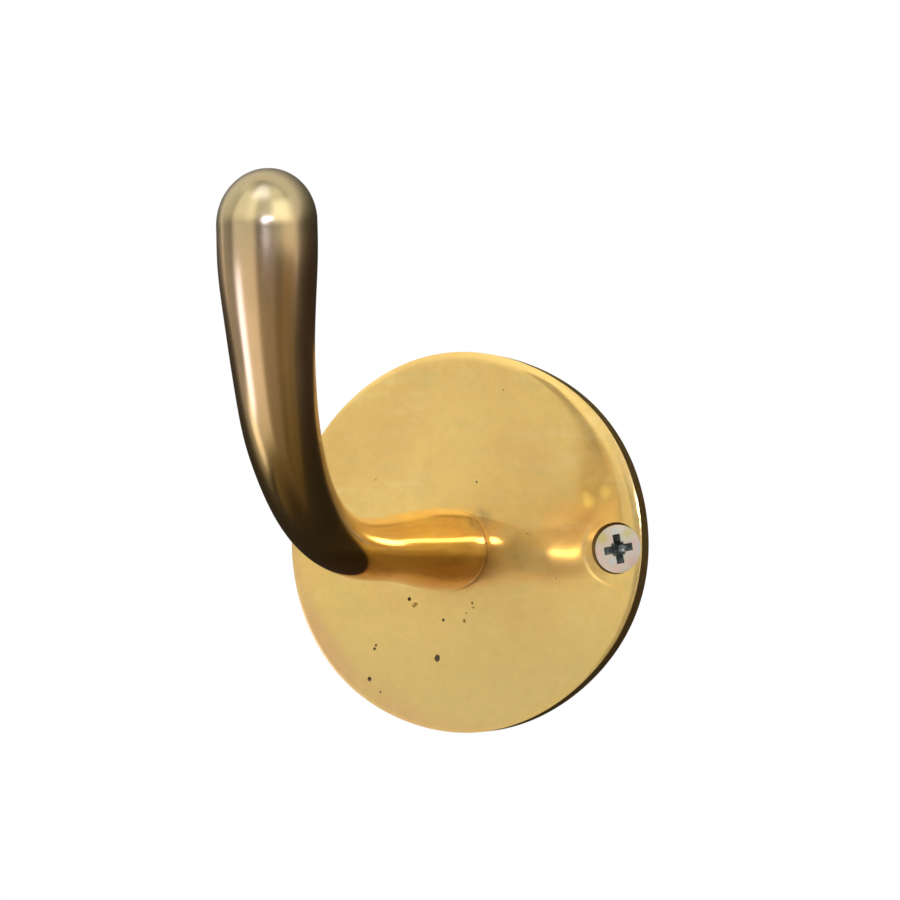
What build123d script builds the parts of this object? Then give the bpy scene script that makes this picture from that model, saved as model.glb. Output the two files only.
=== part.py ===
from build123d import *
from math import radians, tan
import os

os.makedirs("parts", exist_ok=True)

# Every piece is drawn with x to the right, y up the wall and z as the height off the wall,
# and is then hung on the wall, so that +Z is up and the hook points towards -Y.
on_wall = Plane(origin=(0, 0, 0), x_dir=(1, 0, 0), z_dir=(0, -1, 0))

# Round pieces are drawn either standing on the plane or hanging under it
standing = (Align.CENTER, Align.CENTER, Align.MIN)
hanging = (Align.CENTER, Align.CENTER, Align.MAX)

# Backplate: a cast disc with a flat face that is rolled over at its rim
plate_radius = 30.0
plate_thickness = 3.5
rim_height = 3.0
flat_radius = 27.3
rim_chamfer = 0.3

# Arm: where it stands on the plate, and points on the line that its middle follows, given as heights
# off the wall and as rises above its root
arm_x = -2.1
arm_y = -1.3
root_radius = 6.57
root_chamfer = 0.35
foot_height = 1.0
arm_heights = [24.0, 37.3, 47.2, 54.5, 60.4, 64.3, 67.0, 68.7]
arm_rises = [-0.12, -0.42, 1.1, 4.3, 9.7, 15.8, 24.0, 34.0]
tip_height = 69.2
tip_rise = 45.1
tip_radius = 7.05

# Arm thickness: how far along its line each section stands, and its radius
arm_sections = [
    (0.03, 6.54),
    (0.07, 6.38),
    (0.15, 5.72),
    (0.235, 5.03),
    (0.32, 4.70),
    (0.45, 4.54),
    (0.585, 4.84),
    (0.70, 5.44),
    (0.80, 5.92),
    (0.88, 6.52),
    (0.95, 7.10),
]

# Screw that holds the arm from behind
arm_screw_radius = 2.5
arm_screw_head_radius = 4.6
arm_screw_length = 12.0
arm_screw_sink = 0.2
arm_screw_clearance = 0.2
arm_screw_lead = 0.6
arm_bore_depth = 11.0
slot_width = 1.2
slot_depth = 1.3

# Wall screws: one shows at the right of the plate, the other is behind the bend
wall_screw_x = [26.2, -21.3]
wall_screw_turn = [10, -25]
wall_screw_y = -1.4
wall_screw_length = 30.0
neck_radius = 1.5
thread_radius = 2.0
thread_start = 0.6
point_radius = 0.15
tip_length = 5.5
head_radius = 3.8
head_rim = 0.35
head_top = 3.0
recess_span = 4.6
recess_width = 1.15
recess_depth = 2.2
seat_gap = 0.02

# Wall screw holes, each countersunk in a wide shallow dish
hole_radius = 2.3
sink_radius = 4.05
dish_radius = 6.0
dish_slope = 6.0


def plate_blank():
    middle = Polyline(
        (flat_radius, plate_thickness),
        (0, plate_thickness),
        (0, 0),
        (plate_radius, 0),
        (plate_radius, rim_height),
    )
    shoulder = TangentArc(
        (flat_radius, plate_thickness),
        (plate_radius, rim_height),
        tangent=(1, 0),
    )
    section = make_face(middle + shoulder)
    rim_corners = section.vertices().group_by(Axis.X)[-1]
    section = chamfer(rim_corners, length=rim_chamfer)
    section = Plane.XZ * section
    return revolve(section, Axis.Z)


def screw_dish(x):
    depth = dish_radius * tan(radians(dish_slope))
    cone = Cone(0, 2 * dish_radius, 2 * depth, align=standing)
    return Pos(x, wall_screw_y, plate_thickness - depth) * cone


def screw_hole(x):
    sink_depth = sink_radius - hole_radius
    seat = head_top - head_rim + (sink_radius - head_radius) - seat_gap
    bore = Cylinder(hole_radius, plate_thickness, align=standing)
    cone = Pos(0, 0, seat - sink_depth) * Cone(hole_radius, sink_radius, sink_depth, align=standing)
    mouth = Pos(0, 0, seat) * Cylinder(sink_radius, plate_thickness, align=standing)
    return Pos(x, wall_screw_y, 0) * (bore + cone + mouth)


def arm_screw_seat():
    head_depth = arm_screw_head_radius - arm_screw_radius
    bore = Cylinder(arm_screw_radius + arm_screw_clearance, plate_thickness, align=standing)
    mouth = Cylinder(arm_screw_head_radius, arm_screw_sink, align=standing)
    cone = Cone(arm_screw_head_radius, arm_screw_radius, head_depth, align=standing)
    return Pos(arm_x, arm_y, 0) * (bore + mouth + Pos(0, 0, arm_screw_sink) * cone)


def backplate():
    plate = plate_blank()
    for x in wall_screw_x:
        plate -= screw_dish(x)
        plate -= screw_hole(x)
    return plate - arm_screw_seat()


def arm_line():
    # out from the plate almost straight, round the bend, and up to the tip
    points = [(arm_x, arm_y, plate_thickness + foot_height)]
    for height, rise in zip(arm_heights, arm_rises):
        points.append((arm_x, arm_y + rise, height))
    points.append((arm_x, arm_y + tip_rise, tip_height))
    return Spline(points, tangents=[(0, 0, 1), (0, 1, 0)])


def arm_section(line, along, radius):
    return Plane(origin=line @ along, x_dir=(1, 0, 0), z_dir=line % along) * Circle(radius)


def hook_arm():
    line = arm_line()
    sections = [arm_section(line, 0, root_radius)]
    for along, radius in arm_sections:
        sections.append(arm_section(line, along, radius))
    sections.append(arm_section(line, 1, tip_radius))
    body = loft(sections)
    ball = Pos(line @ 1) * Sphere(tip_radius)
    foot = Cylinder(root_radius, foot_height, align=standing)
    foot = chamfer(foot.edges().sort_by(Axis.Z)[0], length=root_chamfer)
    bore = Cylinder(arm_screw_radius, arm_bore_depth, align=standing)
    on_plate = Pos(arm_x, arm_y, plate_thickness)
    return body + ball + on_plate * foot - on_plate * bore


def arm_screw():
    head_depth = arm_screw_head_radius - arm_screw_radius
    head = Cone(arm_screw_head_radius, arm_screw_radius, head_depth, align=standing)
    shank = Cylinder(arm_screw_radius, arm_screw_length, align=standing)
    shank = chamfer(shank.edges().sort_by(Axis.Z)[-1], length=arm_screw_lead)
    slot = Box(2 * arm_screw_head_radius, slot_width, slot_depth, align=standing)
    return Pos(arm_x, arm_y, arm_screw_sink) * (head + shank - slot)


def cross_recess():
    # crossed bars cut to a cone, so that the wings run in towards the bottom
    reach = Cone(recess_width / 2, recess_span / 2, recess_depth, align=hanging)
    across = Box(recess_span, recess_width, recess_depth, align=hanging)
    upright = Box(recess_width, recess_span, recess_depth, align=hanging)
    return reach & (across + upright)


def wall_screw():
    # drawn with the top of its head at z = 0 and its point below
    cone_depth = head_radius - neck_radius
    neck_top = head_rim + cone_depth
    thread_top = head_top + thread_start
    tip_top = wall_screw_length - tip_length
    rim = Cylinder(head_radius, head_rim, align=hanging)
    cone = Pos(0, 0, -head_rim) * Cone(neck_radius, head_radius, cone_depth, align=hanging)
    neck = Pos(0, 0, -neck_top) * Cylinder(neck_radius, thread_top - neck_top, align=hanging)
    thread = Pos(0, 0, -thread_top) * Cylinder(thread_radius, tip_top - thread_top, align=hanging)
    point = Pos(0, 0, -tip_top) * Cone(point_radius, thread_radius, tip_length, align=hanging)
    return rim + cone + neck + thread + point - cross_recess()


def wall_screws():
    placed = []
    for x, turn in zip(wall_screw_x, wall_screw_turn):
        placed.append(Pos(x, wall_screw_y, head_top) * Rot(0, 0, turn) * wall_screw())
    return placed


def save(name, shapes):
    hung = [on_wall.location * shape for shape in shapes]
    export_step(Compound(hung) if len(hung) > 1 else hung[0], "parts/" + name + ".step")


save("backplate", [backplate()])
save("hook_arm", [hook_arm()])
save("arm_screw", [arm_screw()])
save("wall_screws", wall_screws())
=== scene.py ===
import math
import bpy
from mathutils import Matrix, Vector


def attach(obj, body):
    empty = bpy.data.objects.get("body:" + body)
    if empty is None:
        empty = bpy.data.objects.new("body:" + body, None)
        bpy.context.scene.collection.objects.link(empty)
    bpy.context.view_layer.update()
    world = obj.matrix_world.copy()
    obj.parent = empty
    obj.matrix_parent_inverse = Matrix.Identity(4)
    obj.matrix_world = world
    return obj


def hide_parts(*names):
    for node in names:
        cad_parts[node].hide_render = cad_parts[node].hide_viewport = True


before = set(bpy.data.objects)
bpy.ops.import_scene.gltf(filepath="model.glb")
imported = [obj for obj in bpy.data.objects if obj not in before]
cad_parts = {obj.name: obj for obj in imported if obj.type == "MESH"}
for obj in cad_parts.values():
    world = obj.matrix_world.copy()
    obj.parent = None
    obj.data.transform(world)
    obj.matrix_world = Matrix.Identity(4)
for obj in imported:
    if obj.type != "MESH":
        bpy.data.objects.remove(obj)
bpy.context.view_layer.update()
mm = 0.001


# small helpers

def deselectAll():
    if bpy.context.object and bpy.context.object.mode != "OBJECT":
        bpy.ops.object.mode_set(mode="OBJECT")
    bpy.ops.object.select_all(action="DESELECT")


def makeActive(piece):
    deselectAll()
    piece.select_set(True)
    bpy.context.view_layer.objects.active = piece


def namePiece(name):
    piece = bpy.context.object
    piece.name = name
    piece.data.name = name
    return piece


def applyModifier(piece, kind, **settings):
    makeActive(piece)
    modifier = piece.modifiers.new(kind.lower(), kind)
    for key, value in settings.items():
        setattr(modifier, key, value)
    bpy.ops.object.modifier_apply(modifier=modifier.name)


def cutAway(piece, cutter):
    applyModifier(piece, "BOOLEAN", operation="DIFFERENCE", solver="EXACT", object=cutter)
    bpy.data.objects.remove(cutter)


def cleanMesh(piece, gap=0.002 * mm):
    makeActive(piece)
    bpy.ops.object.transform_apply(location=True, rotation=True, scale=True)
    bpy.ops.object.mode_set(mode="EDIT")
    bpy.ops.mesh.select_all(action="SELECT")
    bpy.ops.mesh.remove_doubles(threshold=gap)
    bpy.ops.mesh.normals_make_consistent(inside=False)
    bpy.ops.object.mode_set(mode="OBJECT")


def smoothByAngle(piece, degrees):
    makeActive(piece)
    bpy.ops.object.shade_smooth_by_angle(angle=math.radians(degrees))


def dress(piece, node, materials):
    # faces keep the number of the material that they were given while the piece was shaped
    while len(piece.data.materials) < len(materials):
        piece.data.materials.append(None)
    for number, material in enumerate(materials):
        piece.data.materials[number] = material
    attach(piece, "root")
    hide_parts(node)


# backplate: a cast disc with a rolled rim, hand polished until its face is a little wavy
plateSizes = {
    "radius": 30.0,
    "thickness": 3.5,
    "sideHeight": 3.0,
    "rollRun": (0.6, 1.5),     # how far in the rim is rolled over: all round, and more at one side
    "rollFall": (0.08, 0.30),
    "rollTowards": 35.0,       # that side, the upper right
    "rimRounding": 0.15,
    "segments": 288,
    "rollRings": 8,
    "flatRings": 40,
    "middle": 0.7,
    "bowlFrom": 12.0,          # the face rises from here to the rim, as polishing has hollowed it
    "bowlTo": 21.0,
    "bowlSlope": 0.045,
    "crestWidth": 1.2,
    "waveFade": 4.0,           # the waves die out this far in from the rim
    "waves": [                 # across, up the wall, turn, height: gentle bumps left by the polishing
        (0.21, 0.13, 0.4, 0.010), (0.11, 0.27, 2.1, 0.012), (0.33, 0.24, 4.0, 0.006),
        (-0.26, 0.36, 1.2, 0.005), (0.47, -0.19, 5.2, 0.003)],
    "lobesFrom": 24.0,
    "lobes": [(1, 0.64, 0.17), (2, 2.48, 0.055), (3, 0.05, 0.09), (6, 2.23, 0.09)],  # count, turn, size
    "screwX": [26.2, -21.3],
    "screwZ": -1.4,
    "holeX": [25.9, -21.03],
    "holeZ": [-1.3, -1.13],
    "holeRadius": 2.3,
    "sinkRadius": [4.03, 3.9],
    "seatHeight": 2.7,
    "armScrewAt": (-2.1, -1.3),
    "armScrewSeat": [(-1.0, 4.6), (0.2, 4.6), (2.25, 2.7), (4.5, 2.7)],  # height off the wall, radius
    "dishRadius": 6.0,
    "dishDepth": [0.11, 0.0],
    "dishShoulder": 0.55,
    "dishTowards": 205.0,      # the side where the dish is cut deepest
    "dishEven": 0.06,          # its depth at the other side, as a share
    "dishMargin": 1.0,
    "pitSink": 0.1,
    "pitReach": 1.3,
    "pitShallow": 0.015,
    "pits": [                  # across, up the wall, radius: small blow holes of the casting
        (-9.13, -9.14, 0.29), (-8.26, -10.09, 0.2), (1.71, -9.77, 0.17), (1.88, -10.48, 0.15),
        (0.68, -11.35, 0.12), (0.34, -12.61, 0.19), (-3.26, -12.46, 0.23), (-4.25, -18.5, 0.47),
        (-15.04, -17.06, 0.26), (-14.80, -16.5, 0.2), (-15.84, -21.89, 0.33),
        (-13.88, -23.94, 0.16), (2.48, 9.31, 0.16), (11.03, 1.18, 0.17), (7.17, 23.74, 0.11),
        (-14.97, 9.97, 0.12), (15.88, -5.88, 0.12)],
}


def ramp(t):
    # area under a slope that eases in from nothing to one
    t = max(t, 0.0)
    return t**3 - 0.5 * t**4 if t < 1 else t - 0.5


def plateHeight(x, z):
    p = plateSizes
    radius = math.hypot(x, z)
    width = p["bowlTo"] - p["bowlFrom"]
    more = (0.5 + 0.5 * math.cos(math.atan2(z, x) - math.radians(p["rollTowards"]))) ** 3
    run = p["rollRun"][0] + p["rollRun"][1] * more
    fall = p["rollFall"][0] + p["rollFall"][1] * more
    crest = p["radius"] - run

    def bowl(r):
        rise = width * ramp((r - p["bowlFrom"]) / width)
        return p["bowlSlope"] * (rise - p["crestWidth"] * ramp((r - crest) / p["crestWidth"] + 1))
    height = p["thickness"] + bowl(min(radius, crest)) - bowl(crest)
    if radius > crest:
        roll = (run**2 + fall**2) / (2 * fall)
        height -= roll - math.sqrt(roll**2 - min(radius - crest, run) ** 2)
    fade = min(max((p["radius"] - radius) / p["waveFade"], 0.0), 1.0)
    for across, upwards, turn, size in p["waves"]:
        height += fade * size * math.sin(across * x + upwards * z + turn)
    for screwX, depth in zip(p["screwX"], p["dishDepth"]):
        across, upwards = x - screwX, z - p["screwZ"]
        inside = (p["dishRadius"] - math.hypot(across, upwards)) / p["dishShoulder"]
        sunk = min(max(inside, 0.0), 1.0)
        side = 0.5 + 0.5 * math.cos(math.atan2(upwards, across) - math.radians(p["dishTowards"]))
        share = p["dishEven"] + (1 - p["dishEven"]) * side**4
        height -= depth * share * sunk * sunk * (3 - 2 * sunk)
    return height


def shapePlate(plate):
    p = plateSizes
    for vertex in plate.data.vertices:
        x, z = vertex.co.x / mm, vertex.co.z / mm
        radius = math.hypot(x, z)
        angle = math.atan2(z, x)
        if vertex.co.y < -0.5 * p["sideHeight"] * mm:
            vertex.co.y = -plateHeight(x, z) * mm
        lobe = sum(size * math.cos(count * angle + turn) for count, turn, size in p["lobes"])
        outer = (radius - p["lobesFrom"]) / (p["radius"] - p["lobesFrom"])
        grow = 1 + lobe / p["radius"] * min(max(outer, 0.0), 1.0)
        vertex.co.x *= grow
        vertex.co.z *= grow


def turnedCutter(x, z, outline, name):
    # a round cutter drawn as heights off the wall and radii
    height, radius = outline[0]
    bpy.ops.mesh.primitive_circle_add(
        vertices=96, radius=radius * mm, fill_type="NGON",
        location=(x * mm, -height * mm, z * mm), rotation=(math.radians(90), 0, 0))
    cutter = namePiece(name)
    bpy.ops.object.transform_apply(location=True, rotation=True, scale=True)
    bpy.ops.object.mode_set(mode="EDIT")
    bpy.ops.mesh.select_all(action="SELECT")
    for newHeight, newRadius in outline[1:]:
        step = (0, (height - newHeight) * mm, 0)
        centre = (x * mm, -newHeight * mm, z * mm)
        grow = newRadius / radius
        bpy.ops.mesh.extrude_region_move(TRANSFORM_OT_translate={"value": step})
        bpy.ops.transform.resize(value=(grow, grow, grow), center_override=centre)
        height, radius = newHeight, newRadius
    bpy.ops.object.mode_set(mode="OBJECT")
    cleanMesh(cutter)
    return cutter


def pitCutter(x, z, radius, name):
    # a squat ball whose middle is just under the face
    height = plateHeight(x, z) - plateSizes["pitSink"] * radius
    bpy.ops.mesh.primitive_ico_sphere_add(
        subdivisions=3, radius=radius * mm, location=(x * mm, -height * mm, z * mm))
    cutter = namePiece(name)
    bpy.ops.object.mode_set(mode="EDIT")
    bpy.ops.mesh.select_all(action="SELECT")
    bpy.ops.transform.resize(value=(1.0, 0.8, 0.75 + 0.5 * abs(math.sin(7 * x + z))))
    bpy.ops.object.mode_set(mode="OBJECT")
    return cutter


def refineRoundScrews(plate):
    # the dishes round the screws need finer faces than the rest of the face
    p = plateSizes
    makeActive(plate)
    bpy.ops.object.mode_set(mode="EDIT")
    bpy.ops.mesh.select_mode(type="FACE")
    bpy.ops.mesh.select_all(action="DESELECT")
    bpy.ops.object.mode_set(mode="OBJECT")
    for face in plate.data.polygons:
        x, y, z = face.center / mm
        away = min(math.hypot(x - screwX, z - p["screwZ"]) for screwX in p["screwX"])
        face.select = y < -0.5 * p["sideHeight"] and away < p["dishRadius"] + p["dishMargin"]
    bpy.ops.object.mode_set(mode="EDIT")
    bpy.ops.mesh.subdivide(number_cuts=3)
    bpy.ops.mesh.select_mode(type="VERT")
    bpy.ops.object.mode_set(mode="OBJECT")


def buildPlate():
    p = plateSizes
    bpy.ops.mesh.primitive_circle_add(
        vertices=p["segments"], radius=p["radius"] * mm, fill_type="NGON",
        rotation=(math.radians(90), 0, 0))
    plate = namePiece("castBackplate")
    bpy.ops.object.transform_apply(location=True, rotation=True, scale=True)
    bpy.ops.object.mode_set(mode="EDIT")
    bpy.ops.mesh.select_all(action="SELECT")
    bpy.ops.mesh.extrude_region_move(TRANSFORM_OT_translate={"value": (0, -p["sideHeight"] * mm, 0)})
    rollStep = sum(p["rollRun"]) / p["rollRings"]
    flatStep = (p["radius"] - sum(p["rollRun"]) - p["middle"]) / p["flatRings"]
    for step in [rollStep] * p["rollRings"] + [flatStep] * p["flatRings"]:
        bpy.ops.mesh.inset(thickness=step * mm, use_boundary=True)
    bpy.ops.mesh.poke()
    bpy.ops.object.mode_set(mode="OBJECT")
    cleanMesh(plate)
    refineRoundScrews(plate)
    shapePlate(plate)
    applyModifier(plate, "BEVEL", width=p["rimRounding"] * mm, segments=4, limit_method="ANGLE",
                  angle_limit=math.radians(40))
    hole, seat = p["holeRadius"], p["seatHeight"]
    for x, z, sink in zip(p["holeX"], p["holeZ"], p["sinkRadius"]):
        outline = [(-2, hole), (seat - sink + hole, hole), (seat, sink), (7, sink)]
        cutAway(plate, turnedCutter(x, z, outline, "holeCutter"))
    cutAway(plate, turnedCutter(*p["armScrewAt"], p["armScrewSeat"], "seatCutter"))
    pits = [pitCutter(*pit, "pitCutter%d" % number) for number, pit in enumerate(p["pits"])]
    makeActive(pits[0])
    for pit in pits:
        pit.select_set(True)
    bpy.ops.object.join()
    bpy.ops.object.transform_apply(location=True, rotation=True, scale=True)
    cutAway(plate, pits[0])
    cleanMesh(plate, 0.0005 * mm)
    plate.data.materials.append(None)
    plate.data.materials.append(None)
    for face in plate.data.polygons:
        x, y, z = face.center / mm
        for pitX, pitZ, radius in p["pits"]:
            near = math.hypot(x - pitX, z - pitZ) < p["pitReach"] * radius
            if near and -y < plateHeight(x, z) - p["pitShallow"]:
                face.material_index = 1
    smoothByAngle(plate, 30)
    print("backplate made,", len(plate.data.polygons), "faces")
    return plate


# hook arm: a round bar that leaves the plate, turns up and swells to a round tip
armSizes = {
    "x": -2.1,
    "z": -1.3,
    "foot": 2.88,             # just under the plate's face, which is hollowed here
    "footStretch": 1.62,
    "heights": [24.0, 37.3, 47.2, 54.5, 60.4, 64.3, 67.0, 68.75, 69.55],
    "rises": [-0.12, -0.42, 1.1, 4.3, 9.7, 15.8, 24.0, 34.0, 44.4],
    "rootRadius": 6.57,
    "rootRounding": 0.4,
    "tipSwell": 0.5,
    "tipLength": 7.8,
    "tipLean": 0.09,
    "leanX": 0.22,            # how far the tip stands to the right
    "unevenness": 0.004,
    "unevenFrom": 8.0,
    "sections": [
        (0.03, 6.54), (0.07, 6.38), (0.15, 5.72), (0.235, 5.03), (0.32, 4.70), (0.45, 4.54),
        (0.585, 4.86), (0.70, 5.48), (0.80, 5.97), (0.88, 6.55), (0.95, 7.05), (1.0, 7.10)],
    "bore": [(2.0, 2.52), (14.5, 2.52)],
    "lineSteps": 400,
    "lookAhead": 0.004,
    "rings": 150,
    "rootRings": 4,
    "tipRings": 25,
    "segments": 96,
}


def splineThrough(knots, values, startSlope, endSlope):
    # a natural-looking curve through the values, with given slopes at both ends
    count = len(knots)
    lower, diagonal, upper, right = [0.0], [1.0], [0.0], [startSlope]
    for i in range(1, count - 1):
        before = knots[i] - knots[i - 1]
        after = knots[i + 1] - knots[i]
        slopeBefore = (values[i] - values[i - 1]) / before
        slopeAfter = (values[i + 1] - values[i]) / after
        lower.append(after)
        diagonal.append(2 * (before + after))
        upper.append(before)
        right.append(3 * (slopeBefore * after + slopeAfter * before))
    lower.append(0.0)
    diagonal.append(1.0)
    upper.append(0.0)
    right.append(endSlope)
    for i in range(1, count):
        factor = lower[i] / diagonal[i - 1]
        diagonal[i] -= factor * upper[i - 1]
        right[i] -= factor * right[i - 1]
    slopes = [0.0] * count
    slopes[-1] = right[-1] / diagonal[-1]
    for i in range(count - 2, -1, -1):
        slopes[i] = (right[i] - upper[i] * slopes[i + 1]) / diagonal[i]

    def at(t):
        i = 0
        while i < count - 2 and t > knots[i + 1]:
            i += 1
        width = knots[i + 1] - knots[i]
        s = (t - knots[i]) / width
        return ((1 + 2 * s) * (1 - s) ** 2 * values[i] + s * (1 - s) ** 2 * width * slopes[i]
                + s * s * (3 - 2 * s) * values[i + 1] + s * s * (s - 1) * width * slopes[i + 1])
    return at


def armLine():
    a = armSizes
    heights = [a["foot"] + a["footStretch"]] + a["heights"]
    rises = [0.0] + a["rises"]
    knots = [0.0]
    for i in range(1, len(heights)):
        knots.append(knots[-1] + math.hypot(heights[i] - heights[i - 1], rises[i] - rises[i - 1]))
    heightAt = splineThrough(knots, heights, 1.0, a["tipLean"])
    riseAt = splineThrough(knots, rises, 0.0, 1.0)
    # the same line, measured by its true length
    table = [(0.0, heights[0], rises[0])]
    for k in range(1, a["lineSteps"] + 1):
        t = knots[-1] * k / a["lineSteps"]
        h, r = heightAt(t), riseAt(t)
        length, lastH, lastR = table[-1]
        table.append((length + math.hypot(h - lastH, r - lastR), h, r))
    return table


def placeOn(table, along):
    length = table[-1][0] * along
    i = 1
    while i < len(table) - 1 and table[i][0] < length:
        i += 1
    a, b = table[i - 1], table[i]
    s = (length - a[0]) / (b[0] - a[0])
    return a[1] + s * (b[1] - a[1]), a[2] + s * (b[2] - a[2])


def shapeArm(arm):
    # the riser leans a little, and filing by hand has left it not quite round
    a = armSizes
    for vertex in arm.data.vertices:
        x, y, z = vertex.co / mm
        rise = (z - a["z"]) / a["rises"][-1]
        wave = math.sin(0.31 * z + 0.23 * y + 1.1) + 0.6 * math.sin(0.52 * z - 0.3 * y + 0.9 * x)
        strength = min(1.0, max(0.0, -y - a["unevenFrom"]) / a["unevenFrom"])
        around = 1 + a["unevenness"] * wave * strength
        vertex.co.x = (a["x"] + (x - a["x"]) * around + a["leanX"] * min(max(rise, 0.0), 1.0)) * mm


def armStations():
    # height off the wall, rise, turn and radius of each ring, from the root to the tip
    a = armSizes
    table = armLine()
    knots = [0.0] + [along for along, radius in a["sections"]]
    radii = [a["rootRadius"]] + [radius for along, radius in a["sections"]]
    radiusAt = splineThrough(knots, radii, 0.0, a["tipSwell"])
    stations = []
    for k in range(a["rootRings"]):  # the rounded edge of the foot
        angle = math.radians(90 * k / a["rootRings"])
        inner = a["rootRadius"] - a["rootRounding"] * (1 - math.sin(angle))
        stations.append((a["foot"] + a["rootRounding"] * (1 - math.cos(angle)), 0.0, 0.0, inner))
    for k in range(a["rings"] + 1):
        along = k / a["rings"]
        h, r = placeOn(table, along)
        h0, r0 = placeOn(table, max(along - a["lookAhead"], 0))
        h1, r1 = placeOn(table, min(along + a["lookAhead"], 1))
        stations.append((h, r, math.atan2(r1 - r0, h1 - h0), radiusAt(along)))
    tipHeight, tipRise, tipTurn, tipRadius = stations[-1]
    for k in range(1, a["tipRings"]):  # the rounded end
        angle = math.radians(90 * k / a["tipRings"])
        stations.append((tipHeight, tipRise + a["tipLength"] * math.sin(angle), tipTurn,
                         tipRadius * math.cos(angle)))
    return stations


def buildArm():
    a = armSizes
    stations = armStations()
    height, rise, turn, radius = stations[0]
    bpy.ops.mesh.primitive_circle_add(
        vertices=a["segments"], radius=radius * mm, fill_type="NGON",
        location=(a["x"] * mm, -height * mm, a["z"] * mm), rotation=(math.radians(90), 0, 0))
    arm = namePiece("hookArm")
    bpy.ops.object.transform_apply(location=True, rotation=True, scale=True)
    bpy.ops.object.mode_set(mode="EDIT")
    bpy.ops.mesh.select_all(action="SELECT")
    for newHeight, newRise, newTurn, newRadius in stations[1:]:
        step = (0, -(newHeight - height) * mm, (newRise - rise) * mm)
        bpy.ops.mesh.extrude_region_move(TRANSFORM_OT_translate={"value": step})
        centre = (a["x"] * mm, -newHeight * mm, (a["z"] + newRise) * mm)
        if abs(newTurn - turn) > 1e-6:
            bpy.ops.transform.rotate(value=newTurn - turn, orient_axis="X", center_override=centre)
        grow = newRadius / radius
        bpy.ops.transform.resize(value=(grow, grow, grow), center_override=centre)
        height, rise, turn, radius = newHeight, newRise, newTurn, newRadius
    bpy.ops.mesh.merge(type="CENTER")
    bpy.ops.object.mode_set(mode="OBJECT")
    shapeArm(arm)
    cleanMesh(arm, 0.0005 * mm)
    cutAway(arm, turnedCutter(a["x"], a["z"], a["bore"], "boreCutter"))
    smoothByAngle(arm, 40)
    print("arm made,", len(arm.data.polygons), "faces", [round(c / mm, 2) for c in arm.dimensions])
    return arm


# wall screws: countersunk cross-head wood screws, turned, threaded and zinc plated
screwSizes = {
    "x": [26.2, -21.05],
    "z": [-1.4, -1.15],
    "turns": [10, -25],
    "leans": [3, 0],
    "headTop": 3.0,
    "headRadius": 3.8,
    "edgeRounding": 0.1,
    "headRim": 0.35,
    "neckRadius": 1.5,
    "neckFoot": 0.25,
    "threadStart": 3.6,
    "threadRunIn": 1.2,
    "coreRadius": 1.25,
    "crestRadius": 2.0,
    "pitch": 1.8,
    "ridge": 0.46,
    "tipLength": 5.5,
    "length": 30.0,
    "ringStep": 0.15,
    "segments": 48,
    "wingSpan": 4.6,
    "wingWidth": 1.2,
    "wingDepth": 2.4,
    "wingFoot": 0.3,
    "tickSpan": 2.7,
    "tickWidth": 0.42,
    "tickDepth": 1.2,
    "recessReach": 2.6,
}


def screwStations():
    # depth under the top of the head, and radius, from the point up to the head
    s = screwSizes
    steps = int((s["length"] - s["threadStart"]) / s["ringStep"])
    stations = []
    for k in range(steps + 1):
        depth = s["length"] - k * (s["length"] - s["threadStart"]) / steps
        taper = (s["length"] - depth) / s["tipLength"] + 0.1
        stations.append((depth, s["coreRadius"] * min(1.0, taper)))
    cone = s["headRadius"] - s["neckRadius"]
    stations.append((s["threadStart"] - s["neckFoot"], s["neckRadius"]))
    stations.append((s["headRim"] + cone, s["neckRadius"]))
    stations.append((s["headRim"], s["headRadius"]))
    rounding = s["edgeRounding"]
    for k in range(4):
        angle = math.radians(90 * k / 3)
        inner = s["headRadius"] - rounding * (1 - math.cos(angle))
        stations.append((rounding * (1 - math.sin(angle)), inner))
    return stations


def windThread(screw):
    s = screwSizes
    for vertex in screw.data.vertices:
        x, depth, z = vertex.co / mm
        radius = math.hypot(x, z)
        if depth < s["threadStart"] or radius < 1e-4:
            continue
        turn = (depth / s["pitch"] + math.atan2(z, x) / math.tau) % 1.0
        ridge = max(0.0, 1 - abs(turn - 0.5) / (s["ridge"] / 2))
        fromPoint = (s["length"] - depth) / s["tipLength"]
        taper = min(1.0, fromPoint, (depth - s["threadStart"]) / s["threadRunIn"])
        grow = 1 + (s["crestRadius"] - s["coreRadius"]) * ridge * taper / radius
        vertex.co.x *= grow
        vertex.co.z *= grow


def recessBar(span, width, depth, turn):
    # a bar that runs in towards its foot, across the top of the head
    s = screwSizes
    bpy.ops.mesh.primitive_cube_add(size=1)
    bar = namePiece("recessBar")
    bpy.ops.object.mode_set(mode="EDIT")
    bpy.ops.mesh.select_all(action="SELECT")
    bpy.ops.transform.resize(value=(span * mm, 2 * depth * mm, width * mm))
    bpy.ops.object.mode_set(mode="OBJECT")
    for vertex in bar.data.vertices:
        if vertex.co.y > 0:
            vertex.co.x *= s["wingFoot"]
            vertex.co.z *= 0.8
        else:
            vertex.co.x *= 2 - s["wingFoot"]
            vertex.co.z *= 1.2
    bar.rotation_euler = (0, math.radians(turn), 0)
    cleanMesh(bar)
    return bar


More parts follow.
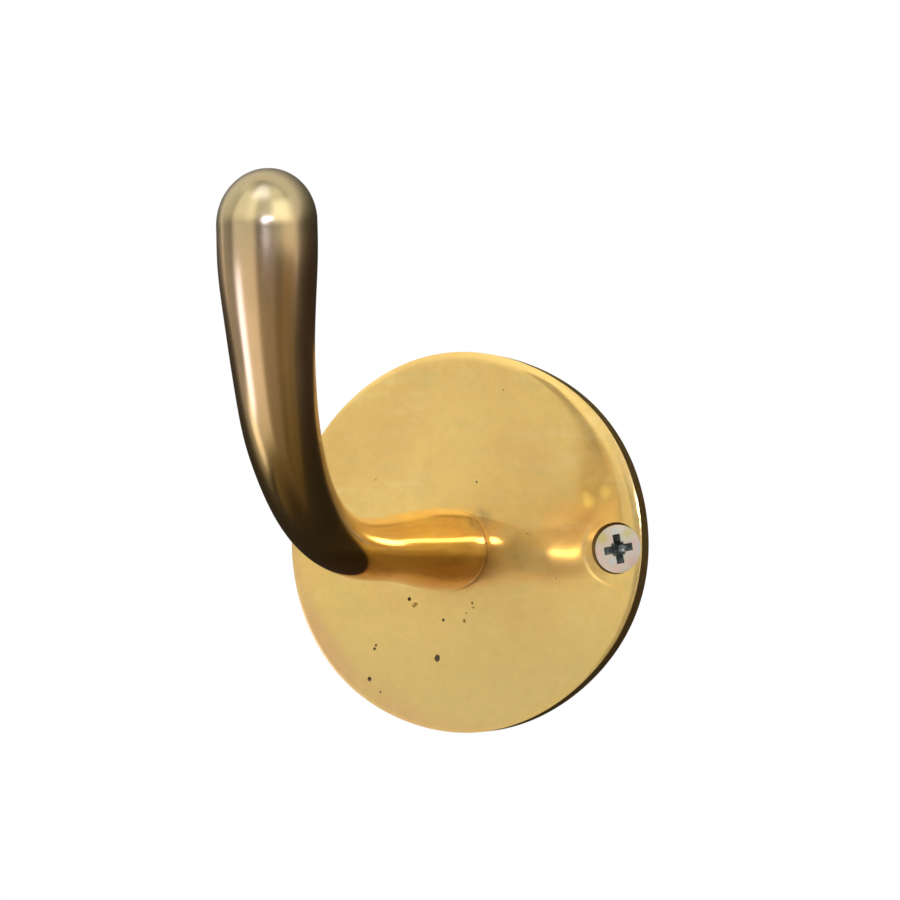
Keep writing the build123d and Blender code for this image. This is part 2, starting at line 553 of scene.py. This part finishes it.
def buildScrew(materials):
    # one screw, its head's top at the origin and its point towards +Y
    s = screwSizes
    stations = screwStations()
    depth, radius = stations[0]
    bpy.ops.mesh.primitive_circle_add(
        vertices=s["segments"], radius=radius * mm, fill_type="NGON",
        location=(0, depth * mm, 0), rotation=(math.radians(90), 0, 0))
    screw = namePiece("wallScrews")
    bpy.ops.object.transform_apply(location=True, rotation=True, scale=True)
    bpy.ops.object.mode_set(mode="EDIT")
    bpy.ops.mesh.select_all(action="SELECT")
    for newDepth, newRadius in stations[1:]:
        bpy.ops.mesh.extrude_region_move(
            TRANSFORM_OT_translate={"value": (0, (newDepth - depth) * mm, 0)})
        grow = newRadius / radius
        bpy.ops.transform.resize(value=(grow, grow, grow), center_override=(0, newDepth * mm, 0))
        depth, radius = newDepth, newRadius
    bpy.ops.object.mode_set(mode="OBJECT")
    cleanMesh(screw)
    windThread(screw)
    for turn in (0, 90):
        cutAway(screw, recessBar(s["wingSpan"], s["wingWidth"], s["wingDepth"], turn))
    for turn in (45, 135):
        cutAway(screw, recessBar(s["tickSpan"], s["tickWidth"], s["tickDepth"], turn))
    cleanMesh(screw)
    for material in materials:
        screw.data.materials.append(material)
    for face in screw.data.polygons:
        # the faces of the recess lie under the head's top and well inside its cone
        x, depth, z = face.center / mm
        radius = math.hypot(x, z)
        sunk = 0.01 < depth < s["wingDepth"] + 0.1
        inside = radius < min(s["recessReach"], s["headRadius"] - depth - 0.3)
        face.material_index = 1 if sunk and inside else 0
    smoothByAngle(screw, 35)
    return screw


def placeScrew(screw, x, z, turn, lean):
    place = Matrix.Translation((x * mm, -screwSizes["headTop"] * mm, z * mm))
    leaned = Matrix.Rotation(math.radians(lean), 4, "Z")
    turned = Matrix.Rotation(math.radians(-turn), 4, "Y")
    screw.matrix_world = place @ leaned @ turned


def buildScrews(materials):
    s = screwSizes
    first = buildScrew(materials)
    second = first.copy()
    second.data = first.data.copy()
    bpy.context.scene.collection.objects.link(second)
    for screw, x, z, turn, lean in zip((first, second), s["x"], s["z"], s["turns"], s["leans"]):
        placeScrew(screw, x, z, turn, lean)
    makeActive(first)
    second.select_set(True)
    bpy.ops.object.join()
    bpy.ops.object.transform_apply(location=True, rotation=True, scale=True)
    print("wall screws made,", len(first.data.polygons), "faces")
    return first


# materials

def newMaterial(name):
    material = bpy.data.materials.new(name)
    material.use_nodes = True
    nodes = material.node_tree.nodes
    return material, nodes, material.node_tree.links, nodes["Principled BSDF"]


def mathNode(nodes, links, operation, *values):
    node = nodes.new("ShaderNodeMath")
    node.operation = operation
    for place, value in enumerate(values):
        if hasattr(value, "links"):
            links.new(value, node.inputs[place])
        else:
            node.inputs[place].default_value = value
    return node.outputs[0]


def objectPlace(nodes, links, stretch=(1, 1, 1), turn=(0, 0, 0), shift=(0, 0, 0)):
    coordinates = nodes.new("ShaderNodeTexCoord")
    mapping = nodes.new("ShaderNodeMapping")
    mapping.inputs["Location"].default_value = shift
    mapping.inputs["Rotation"].default_value = [math.radians(a) for a in turn]
    mapping.inputs["Scale"].default_value = stretch
    links.new(coordinates.outputs["Object"], mapping.inputs["Vector"])
    return mapping.outputs["Vector"]


def noise(nodes, links, place, scale, detail=2.0, rough=0.5):
    texture = nodes.new("ShaderNodeTexNoise")
    texture.inputs["Scale"].default_value = scale
    texture.inputs["Detail"].default_value = detail
    texture.inputs["Roughness"].default_value = rough
    links.new(place, texture.inputs["Vector"])
    return texture.outputs["Fac"]


def spread(nodes, links, value, low, high, toLow=0.0, toHigh=1.0):
    # stretches the part of a value between low and high, and eases at both ends
    node = nodes.new("ShaderNodeMapRange")
    node.interpolation_type = "SMOOTHSTEP"
    limits = {"From Min": low, "From Max": high, "To Min": toLow, "To Max": toHigh}
    for name, number in limits.items():
        node.inputs[name].default_value = number
    links.new(value, node.inputs["Value"])
    return node.outputs["Result"]


def blendColours(nodes, links, amount, first, second):
    node = nodes.new("ShaderNodeMix")
    node.data_type = "RGBA"
    links.new(amount, node.inputs["Factor"])
    for socket, colour in ((node.inputs["A"], first), (node.inputs["B"], second)):
        if hasattr(colour, "links"):
            links.new(colour, socket)
        else:
            socket.default_value = (*colour, 1)
    return node.outputs["Result"]


def nearTo(nodes, links, centre, radius, softness):
    # 1 within the radius of a place on the piece (millimetres), fading to 0 over the softness
    coordinates = nodes.new("ShaderNodeTexCoord")
    distance = nodes.new("ShaderNodeVectorMath")
    distance.operation = "DISTANCE"
    links.new(coordinates.outputs["Object"], distance.inputs[0])
    distance.inputs[1].default_value = [c * mm for c in centre]
    return spread(
        nodes, links, distance.outputs["Value"], radius * mm, (radius + softness) * mm, 1.0, 0.0)


def axis(nodes, links, name):
    split = nodes.new("ShaderNodeSeparateXYZ")
    coordinates = nodes.new("ShaderNodeTexCoord")
    links.new(coordinates.outputs["Object"], split.inputs[0])
    return split.outputs[name]


plateFinish = {
    "yellow": (0.78, 0.55, 0.175),
    "brown": (0.74, 0.49, 0.16),
    "pale": (0.83, 0.63, 0.26),
    "green": (0.66, 0.52, 0.19),
    "lowerTone": (0.66, 0.48, 0.165),
    "rootPatch": (0.30, 0.255, 0.13),
    "pink": (0.66, 0.42, 0.18),
    "bright": (1.0, 0.76, 0.22),
    "rootPatchAt": ((3.2, -2.9, 3.5), 0.5, 2.2),  # place, radius and softness
    "filmRound": ((4, -3, 4), 31.5, 2.5),
    # painted reflections of the bend's highlights: place, radius and softness
    "bendGlints": [
        ((21.4, -3.6, 5.9), 0.3, 1.2), ((21.0, -3.6, 7.0), 0.1, 0.9), ((24.2, -3.7, 7.4), 0.2, 1.3)],
    "haze": 0.48,
    "polish": 0.09,
    "hazeShare": (0.50, 0.66),
}


def metalShader(nodes, colour, roughness):
    shader = nodes.new("ShaderNodeBsdfPrincipled")
    shader.inputs["Metallic"].default_value = 1.0
    for name, value in (("Base Color", colour), ("Roughness", roughness)):
        if hasattr(value, "links"):
            nodes.id_data.links.new(value, shader.inputs[name])
        else:
            shader.inputs[name].default_value = value
    return shader


def plateMaterial():
    f = plateFinish
    material, nodes, links, polished = newMaterial("polishedBrass")
    broad = noise(nodes, links, objectPlace(nodes, links), 75, 3, 0.55)
    browned = spread(nodes, links, broad, 0.38, 0.68)
    colour = blendColours(nodes, links, browned, f["yellow"], f["brown"])
    # wiped streaks, paler, and smears across them
    streaked = objectPlace(nodes, links, (150, 150, 600), (0, 25, 0))
    wipes = spread(nodes, links, noise(nodes, links, streaked, 1, 3, 0.55), 0.5, 0.8, 0, 0.6)
    colour = blendColours(nodes, links, wipes, colour, f["pale"])
    smeared = objectPlace(nodes, links, (120, 120, 260), (0, -40, 0), (3, 1, 2))
    smears = spread(nodes, links, noise(nodes, links, smeared, 1, 4, 0.6), 0.5, 0.75, 0, 0.6)
    colour = blendColours(nodes, links, smears, colour, f["green"])
    # darker towards the bottom of the plate
    lowerShare = spread(nodes, links, axis(nodes, links, "Z"), -5 * mm, -24 * mm)
    colour = blendColours(nodes, links, lowerShare, colour, f["lowerTone"])
    # a ragged dark greenish patch over the arm's root, beside the seam, and painted reflections: bright
    # spots that stand for the bend's highlights mirrored in the plate
    rootPatch = nearTo(nodes, links, *f["rootPatchAt"])
    ragged = noise(nodes, links, objectPlace(nodes, links), 700, 3)
    ragged = spread(nodes, links, ragged, 0.35, 0.65, 0.1, 0.7)
    rootPatch = mathNode(nodes, links, "MULTIPLY", rootPatch, ragged)
    colour = blendColours(nodes, links, rootPatch, colour, f["rootPatch"])
    for centre, size, fade in f["bendGlints"]:
        spot = nearTo(nodes, links, centre, size, fade)
        colour = blendColours(nodes, links, spot, colour, f["bright"])
    # the film left at the lower rim
    low = nearTo(nodes, links, *f["filmRound"])
    low = mathNode(nodes, links, "MULTIPLY", mathNode(nodes, links, "SUBTRACT", 1.0, low),
                   spread(nodes, links, broad, 0.3, 0.6, 0.2, 0.8))
    colour = blendColours(nodes, links, low, colour, f["pink"])
    # polished, but hazy with fine wear
    polished.inputs["Metallic"].default_value = 1.0
    links.new(colour, polished.inputs["Base Color"])
    polished.inputs["Roughness"].default_value = f["polish"]
    hazy = metalShader(nodes, colour, f["haze"])
    patch = noise(nodes, links, objectPlace(nodes, links), 190, 4, 0.6)
    mix = nodes.new("ShaderNodeMixShader")
    links.new(spread(nodes, links, patch, 0.3, 0.7, *f["hazeShare"]), mix.inputs[0])
    links.new(polished.outputs[0], mix.inputs[1])
    links.new(hazy.outputs[0], mix.inputs[2])
    links.new(mix.outputs[0], nodes["Material Output"].inputs["Surface"])
    return material


def pitMaterial():
    material, nodes, links, shader = newMaterial("darkPits")
    crumbs = noise(nodes, links, objectPlace(nodes, links), 5000, 3)
    links.new(blendColours(nodes, links, crumbs, (0.05, 0.035, 0.02), (0.16, 0.11, 0.045)),
              shader.inputs["Base Color"])
    shader.inputs["Roughness"].default_value = 0.8
    return material


armFinish = {
    "olive": (0.50, 0.415, 0.225),
    "rose": (0.66, 0.455, 0.25),
    "bendShade": (0.42, 0.285, 0.11),
    "gold": (0.88, 0.585, 0.16),
    "copper": (0.74, 0.40, 0.09),
    "tarnish": (0.46, 0.34, 0.18),
    "undersideShade": (0.38, 0.18, 0.012),
    "bottomShade": (0.60, 0.29, 0.07),
}


def armMaterial():
    f = armFinish
    material, nodes, links, shader = newMaterial("agedBrass")
    upright = spread(nodes, links, axis(nodes, links, "Z"), 34 * mm, 47 * mm)
    # painted shade: the bend and the foot of the riser are painted a dark umber
    lower = spread(nodes, links, axis(nodes, links, "Z"), 24 * mm, 6 * mm)
    outward = spread(nodes, links, axis(nodes, links, "Y"), -58 * mm, -44 * mm)
    colour = blendColours(nodes, links, upright, f["rose"], f["olive"])
    colour = blendColours(nodes, links, lower, colour, f["bendShade"])
    bands = noise(nodes, links, objectPlace(nodes, links, (1, 0.25, 1)), 330, 2)
    coppery = spread(nodes, links, bands, 0.5, 0.75, 0, 0.6)
    golden = blendColours(nodes, links, coppery, f["gold"], f["copper"])
    # painted shade: the shank stays bright on top, and its underside is painted darker, a rust-brown
    # band mottled by the coppery bands and redder along the very bottom
    height = axis(nodes, links, "Z")
    under = mathNode(nodes, links, "MULTIPLY", spread(nodes, links, height, -1.6 * mm, -3.0 * mm),
                     spread(nodes, links, bands, 0.25, 0.55, 1.0, 0.7))
    golden = blendColours(nodes, links, under, golden, f["undersideShade"])
    lowest = spread(nodes, links, height, -3.4 * mm, -4.6 * mm)
    golden = blendColours(nodes, links, lowest, golden, f["bottomShade"])
    colour = blendColours(nodes, links, outward, colour, golden)
    cloudy = noise(nodes, links, objectPlace(nodes, links), 110, 2, 0.5)
    cloudy = spread(nodes, links, cloudy, 0.45, 0.75, 0, 0.3)
    colour = blendColours(nodes, links, cloudy, colour, f["tarnish"])
    links.new(colour, shader.inputs["Base Color"])
    rub = noise(nodes, links, objectPlace(nodes, links, (1, 1, 0.12)), 420, 2, 0.5)
    satin = mathNode(nodes, links, "MULTIPLY_ADD", outward, -0.13, 0.215)
    links.new(mathNode(nodes, links, "ADD", satin, spread(nodes, links, rub, 0.3, 0.7, -0.02, 0.02)),
              shader.inputs["Roughness"])
    shader.inputs["Metallic"].default_value = 1.0
    return material


zincFinish = {
    "cream": (0.60, 0.55, 0.43),
    "pink": (0.66, 0.48, 0.39),
    "yellow": (0.56, 0.50, 0.185),
    "blue": (0.52, 0.57, 0.55),
    "slate": (0.34, 0.37, 0.34),
    "recessDarkest": (0.11, 0.125, 0.11),
    "glint": (0.85, 0.87, 0.86),
    "places": [  # across and up from the middle of the head, size, colour: the clouds of the coating
        (1.5, 2.4, 0.7, "yellow"), (-2.6, 1.7, 0.8, "yellow"), (-3.1, -0.7, 0.7, "pink"),
        (2.7, 1.2, 0.5, "pink"), (2.2, -1.9, 0.9, "pink"), (-0.5, -3.1, 0.8, "pink"),
        (-1.0, -2.0, 0.5, "blue"), (-2.2, -0.5, 0.4, "blue"), (3.3, 0.1, 0.3, "blue"),
        (-0.6, 2.7, 0.5, "blue")],
    "placeStrength": 0.8,
}


def zincMaterial():
    # the passivated zinc shows faint rainbow clouds
    f = zincFinish
    material, nodes, links, shader = newMaterial("yellowZinc")
    colour = f["cream"]
    for shift, low, high, tone in ((0, 0.42, 0.62, "pink"), (0.37, 0.5, 0.68, "blue")):
        clouds = noise(nodes, links, objectPlace(nodes, links, shift=(shift, 0, 0)), 420, 2, 0.5)
        clouds = spread(nodes, links, clouds, low, high, 0, 0.5)
        colour = blendColours(nodes, links, clouds, colour, f[tone])
    for across, upwards, size, tone in f["places"]:
        for screwX, screwZ in zip(screwSizes["x"], screwSizes["z"]):
            centre = (screwX + across, -screwSizes["headTop"], screwZ + upwards)
            near = nearTo(nodes, links, centre, 0.4 * size, 1.3 * size)
            near = mathNode(nodes, links, "MULTIPLY", near, f["placeStrength"])
            colour = blendColours(nodes, links, near, colour, f[tone])
    links.new(colour, shader.inputs["Base Color"])
    shader.inputs["Metallic"].default_value = 1.0
    grain = noise(nodes, links, objectPlace(nodes, links), 3500, 3)
    links.new(spread(nodes, links, grain, 0.3, 0.7, 0.32, 0.5), shader.inputs["Roughness"])
    return material


def recessMaterial():
    f = zincFinish
    material, nodes, links, shader = newMaterial("darkRecess")
    # the recess is painted dark, mottled between near black and slate
    recessMottle = noise(nodes, links, objectPlace(nodes, links), 2600, 3)
    colour = blendColours(nodes, links, spread(nodes, links, recessMottle, 0.42, 0.62), f["recessDarkest"], f["slate"])
    # painted reflection: a pale speck at the bottom of each recess, where its flat floor mirrors the
    # bright room like the head's top
    bottom = screwSizes["wingDepth"] - screwSizes["headTop"]
    for screwX, screwZ in zip(screwSizes["x"], screwSizes["z"]):
        floorReflection = nearTo(nodes, links, (screwX - 0.1, bottom, screwZ - 0.1), 0.1, 0.25)
        colour = blendColours(nodes, links, floorReflection, colour, f["glint"])
    links.new(colour, shader.inputs["Base Color"])
    shader.inputs["Metallic"].default_value = 0.8
    links.new(spread(nodes, links, recessMottle, 0.3, 0.7, 0.6, 0.35), shader.inputs["Roughness"])
    return material


def turnedBrass():
    # plain turned brass, with fine rings round the screw's own line
    material, nodes, links, shader = newMaterial("turnedBrass")
    rings = noise(nodes, links, objectPlace(nodes, links, (60, 2500, 60)), 1, 2)
    links.new(blendColours(nodes, links, rings, (0.62, 0.43, 0.16), (0.74, 0.53, 0.21)),
              shader.inputs["Base Color"])
    shader.inputs["Metallic"].default_value = 1.0
    links.new(spread(nodes, links, rings, 0.3, 0.7, 0.24, 0.36), shader.inputs["Roughness"])
    return material


plate = buildPlate()
dress(plate, "backplate", [plateMaterial(), pitMaterial()])
arm = buildArm()
dress(arm, "hook_arm", [armMaterial()])
screwMaterials = [zincMaterial(), recessMaterial()]
screws = buildScrews(screwMaterials)
dress(screws, "wall_screws", screwMaterials)
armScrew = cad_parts["arm_screw"]
armScrew.data.materials.clear()
armScrew.data.materials.append(turnedBrass())
print("pieces dressed")


# surroundings: a room with one bright side, which the polished metal mirrors
room = {
    "radius": 3.0,
    "base": 0.02,
    "tones": {"plain": (1.0, 0.985, 0.96), "warm": (1.0, 0.76, 0.34), "cool": (0.88, 1.0, 1.75)},
    "glows": [  # azimuth, half width, softness, elevation, half height, softness, strength, tone
        (-30, 20, 16, 4, 42, 20, 0.84, "plain"),      # bright wall on the left
        (-48, 4, 8, -17, 9, 5, 2.0, "cool"),          # light strip at its end, slanting down
        (-62, 5, 9, -34, 9, 8, 1.85, "plain"),
        (-110, 32, 25, 6, 42, 20, 0.40, "plain"),     # far left
        (28, 38, 24, 42, 28, 14, 0.36, "plain"),      # upper walls
        (-35, 100, 30, 42, 16, 24, 0.50, "plain"),
        (76, 28, 22, 24, 14, 16, 1.3, "plain"),       # right wall, above the hook
        (0, 180, 1, 78, 14, 24, 0.50, "plain"),       # ceiling
        (2, 16, 24, 64, 6, 16, 0.9, "cool"),          # ceiling light
        (16, 16, 14, -26, 24, 14, 0.14, "plain"),     # lower front
        (12, 38, 26, -44, 26, 20, 0.20, "warm"),
        (78, 12, 12, -18, 30, 18, 0.20, "warm"),      # lower right
        (20, 2.6, 1.8, 8.6, 1.7, 1.5, 24.0, "cool"),  # lamp
        (30, 5.0, 5.0, 11.4, 1.2, 1.8, 11.0, "cool"),  # its shade
        (180, 60, 25, 10, 60, 25, 0.55, "plain"),     # behind the wall, for the back of the plate
    ],
    "wallSize": 2.1,          # in radii, as is the floor's
    "wallGap": 0.06,
    "wallOpening": 29.85,
    "wallDark": (0.026, 0.018, 0.007),
    "wallLight": (0.93, 0.89, 0.80),
    "wallShade": (0.04, 0.22),  # it is dark below the lower value, in metres
    "wallSlopes": (0.18, -0.2),
    "floorSize": 1.6,
    "floorDrop": 2500.0,
    "floorFade": 1900.0,
    "floorNear": (0.09, 0.065, 0.03),
    "floorFar": (0.42, 0.32, 0.17),
}


def direction(azimuth, elevation):
    a, e = math.radians(azimuth), math.radians(elevation)
    return Vector((math.sin(a) * math.cos(e), -math.cos(a) * math.cos(e), math.sin(e)))


def softBand(nodes, links, value, half, softness):
    # 1 within half of zero, fading to 0 over the softness
    fade = nodes.new("ShaderNodeMapRange")
    fade.interpolation_type = "SMOOTHERSTEP"
    fade.inputs["From Min"].default_value = half + softness
    fade.inputs["From Max"].default_value = half
    links.new(mathNode(nodes, links, "ABSOLUTE", value), fade.inputs["Value"])
    return fade.outputs["Result"]


def buildDome():
    bpy.ops.mesh.primitive_uv_sphere_add(segments=48, ring_count=24, radius=room["radius"])
    dome = namePiece("roomDome")
    material = bpy.data.materials.new("roomLight")
    material.use_nodes = True
    nodes, links = material.node_tree.nodes, material.node_tree.links
    nodes.clear()
    coordinates = nodes.new("ShaderNodeTexCoord")
    unit = nodes.new("ShaderNodeVectorMath")
    unit.operation = "NORMALIZE"
    links.new(coordinates.outputs["Object"], unit.inputs[0])
    split = nodes.new("ShaderNodeSeparateXYZ")
    links.new(unit.outputs[0], split.inputs[0])
    back = mathNode(nodes, links, "MULTIPLY", split.outputs["Y"], -1.0)
    azimuth = mathNode(nodes, links, "ARCTAN2", split.outputs["X"], back)
    azimuth = mathNode(nodes, links, "DEGREES", azimuth)
    elevation = mathNode(nodes, links, "ARCSINE", split.outputs["Z"])
    elevation = mathNode(nodes, links, "DEGREES", elevation)
    totals = {"plain": room["base"], "warm": 0.0, "cool": 0.0}
    for a, aHalf, aSoft, e, eHalf, eSoft, strength, tone in room["glows"]:
        turned = mathNode(nodes, links, "SUBTRACT", azimuth, a)
        turned = mathNode(nodes, links, "WRAP", turned, 180.0, -180.0)
        raised = mathNode(nodes, links, "SUBTRACT", elevation, e)
        glow = mathNode(nodes, links, "MULTIPLY", softBand(nodes, links, turned, aHalf, aSoft),
                        softBand(nodes, links, raised, eHalf, eSoft))
        totals[tone] = mathNode(nodes, links, "MULTIPLY_ADD", glow, strength, totals[tone])
    light = None
    for tone, total in totals.items():
        toned = nodes.new("ShaderNodeVectorMath")
        toned.operation = "SCALE"
        toned.inputs[0].default_value = room["tones"][tone]
        links.new(total, toned.inputs["Scale"])
        if light is None:
            light = toned
            continue
        both = nodes.new("ShaderNodeVectorMath")
        links.new(light.outputs[0], both.inputs[0])
        links.new(toned.outputs[0], both.inputs[1])
        light = both
    emission = nodes.new("ShaderNodeEmission")
    links.new(light.outputs[0], emission.inputs["Color"])
    output = nodes.new("ShaderNodeOutputMaterial")
    links.new(emission.outputs[0], output.inputs["Surface"])
    dome.data.materials.append(material)
    dome.visible_camera = False
    dome.visible_shadow = False


def whiteToCamera(material, ownShader):
    # the camera sees plain white, and light still meets the surface's own colour
    nodes, links = material.node_tree.nodes, material.node_tree.links
    light = nodes.new("ShaderNodeLightPath")
    white = nodes.new("ShaderNodeEmission")
    mix = nodes.new("ShaderNodeMixShader")
    links.new(light.outputs["Is Camera Ray"], mix.inputs[0])
    links.new(ownShader, mix.inputs[1])
    links.new(white.outputs[0], mix.inputs[2])
    return mix.outputs[0]


def buildWall():
    bpy.ops.mesh.primitive_plane_add(
        size=room["wallSize"] * room["radius"], location=(0, room["wallGap"] * mm, 0),
        rotation=(math.radians(90), 0, 0))
    wall = namePiece("backdropWall")
    bpy.ops.object.transform_apply(location=True, rotation=True, scale=True)
    material, nodes, links, shader = newMaterial("paleWall")
    # it is pale high up and at both sides, and dark round the hook and below it
    across = axis(nodes, links, "X")
    sides = [mathNode(nodes, links, "MULTIPLY", across, slope) for slope in room["wallSlopes"]]
    aside = mathNode(nodes, links, "MAXIMUM", *sides)
    place = mathNode(nodes, links, "ADD", aside, axis(nodes, links, "Z"))
    shade = spread(nodes, links, place, *room["wallShade"])
    colour = blendColours(nodes, links, shade, room["wallDark"], room["wallLight"])
    links.new(colour, shader.inputs["Base Color"])
    shader.inputs["Roughness"].default_value = 1.0
    shown = whiteToCamera(material, shader.outputs[0])
    # it is open behind the plate, and clear when seen from behind, so that the back of the hook shows
    side = nodes.new("ShaderNodeNewGeometry")
    behind = nearTo(nodes, links, (0, room["wallGap"], 0), room["wallOpening"], 0.1)
    clear = nodes.new("ShaderNodeBsdfTransparent")
    mix = nodes.new("ShaderNodeMixShader")
    links.new(mathNode(nodes, links, "MAXIMUM", side.outputs["Backfacing"], behind), mix.inputs[0])
    links.new(shown, mix.inputs[1])
    links.new(clear.outputs[0], mix.inputs[2])
    links.new(mix.outputs[0], nodes["Material Output"].inputs["Surface"])
    wall.data.materials.append(material)


def buildFloor():
    bpy.ops.mesh.primitive_plane_add(
        size=room["floorSize"] * room["radius"], location=(0, 0, -room["floorDrop"] * mm))
    floor = namePiece("paleFloor")
    material, nodes, links, shader = newMaterial("paleFloor")
    near = nearTo(nodes, links, (0, 0, 0), 0, room["floorFade"])
    colour = blendColours(nodes, links, near, room["floorFar"], room["floorNear"])
    links.new(colour, shader.inputs["Base Color"])
    shader.inputs["Roughness"].default_value = 1.0
    shown = whiteToCamera(material, shader.outputs[0])
    links.new(shown, nodes["Material Output"].inputs["Surface"])
    floor.data.materials.append(material)


def buildWorld():
    world = bpy.data.worlds.new("whiteSurround")
    bpy.context.scene.world = world
    world.use_nodes = True
    nodes, links = world.node_tree.nodes, world.node_tree.links
    nodes.clear()
    light = nodes.new("ShaderNodeLightPath")
    seen = light.outputs["Is Camera Ray"]
    for kind in ("Is Glossy Ray", "Is Transmission Ray"):
        seen = mathNode(nodes, links, "MAXIMUM", seen, light.outputs[kind])
    background = nodes.new("ShaderNodeBackground")
    background.inputs["Color"].default_value = (1, 1, 1, 1)
    links.new(seen, background.inputs["Strength"])
    output = nodes.new("ShaderNodeOutputWorld")
    links.new(background.outputs[0], output.inputs["Surface"])


buildDome()
buildWall()
buildFloor()
buildWorld()
print("room made")


# camera: level with the hook and to its right, half a metre away
cameraPlan = {
    "distance": 500.0,
    "placeAzimuth": 22.43,
    "placeElevation": -1.142,
    "lookAzimuth": 22.784,
    "lookElevation": -2.81,
    "focalPixels": 3142.1,
    "framePixels": 900,
    "sensor": 36.0,
    "clip": (0.01, 20),
}


def buildCamera():
    c = cameraPlan
    data = bpy.data.cameras.new("camera")
    camera = bpy.data.objects.new("camera", data)
    bpy.context.scene.collection.objects.link(camera)
    data.sensor_width = c["sensor"]
    data.lens = c["focalPixels"] / c["framePixels"] * c["sensor"]
    data.clip_start, data.clip_end = c["clip"]
    camera.location = direction(c["placeAzimuth"], c["placeElevation"]) * c["distance"] * mm
    back = direction(c["lookAzimuth"], c["lookElevation"])
    camera.rotation_mode = "QUATERNION"
    camera.rotation_quaternion = (-back).to_track_quat("-Z", "Y")
    bpy.context.scene.camera = camera


buildCamera()
bpy.context.scene.view_settings.view_transform = "Standard"
